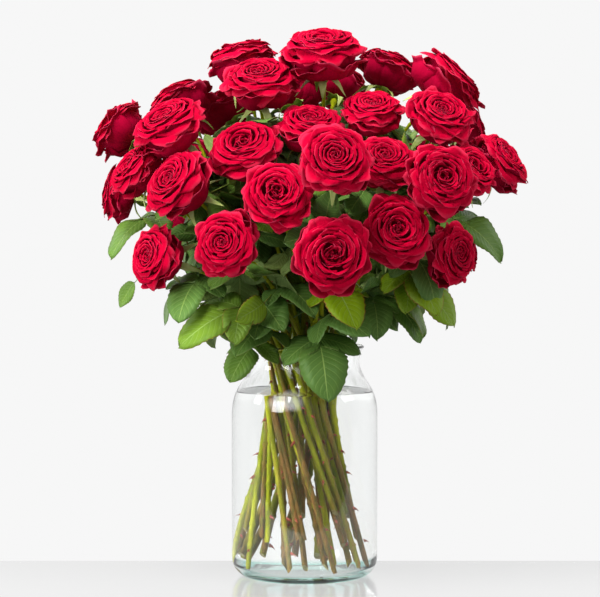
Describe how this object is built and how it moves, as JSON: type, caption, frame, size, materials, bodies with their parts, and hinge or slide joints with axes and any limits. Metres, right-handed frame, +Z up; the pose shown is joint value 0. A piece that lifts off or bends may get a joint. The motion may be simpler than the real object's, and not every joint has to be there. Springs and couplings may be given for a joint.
{
  "type": "roses in a vase",
  "caption": "Bouquet of full-blown red roses with leaves, hand-tied in a spiral, standing in a clear glass vase part-filled with water.",
  "frame": {"origin": "centre of the vase's foot, on the surface it stands on", "axes": "+Z up along the vase's axis, -Y towards the side the bouquet is seen from"},
  "size_m": [0.5575, 0.4627, 0.7146],
  "materials": {
    "petals": "velvety crimson rose petals, darker in the creases and underneath",
    "greens": "green rose stems, sepals and glossy serrated leaves",
    "glass": "clear glass with a faint green tint in its thick foot",
    "water": "clear still water"
  },
  "bodies": {
    "root": {"bloom_01": "petals", "bloom_02": "petals", "bloom_03": "petals", "bloom_04": "petals", "bloom_05": "petals", "bloom_06": "petals", "bloom_07": "petals", "bloom_08": "petals", "bloom_09": "petals", "bloom_10": "petals", "bloom_11": "petals", "bloom_12": "petals", "bloom_13": "petals", "bloom_14": "petals", "bloom_15": "petals", "bloom_16": "petals", "bloom_17": "petals", "bloom_18": "petals", "bloom_19": "petals", "bloom_20": "petals", "bloom_21": "petals", "bloom_22": "petals", "bloom_23": "petals", "bloom_24": "petals", "bloom_25": "petals", "bloom_26": "petals", "bloom_27": "petals", "bloom_28": "petals", "bloom_29": "petals", "bloom_30": "petals", "bloom_31": "petals", "bloom_32": "petals", "bloom_33": "petals", "bloom_34": "petals", "bloom_35": "petals", "bloom_36": "petals", "bloom_37": "petals", "bloom_38": "petals", "bloom_39": "petals", "bloom_40": "petals", "stems_01": "greens", "stems_02": "greens", "stems_03": "greens", "stems_04": "greens", "stems_05": "greens", "stems_06": "greens", "stems_07": "greens", "stems_08": "greens", "stems_09": "greens", "stems_10": "greens", "stems_11": "greens", "stems_12": "greens", "stems_13": "greens", "stems_14": "greens", "stems_15": "greens", "stems_16": "greens", "stems_17": "greens", "stems_18": "greens", "vase": "glass", "water": "water"}
  },
  "joints": []
}
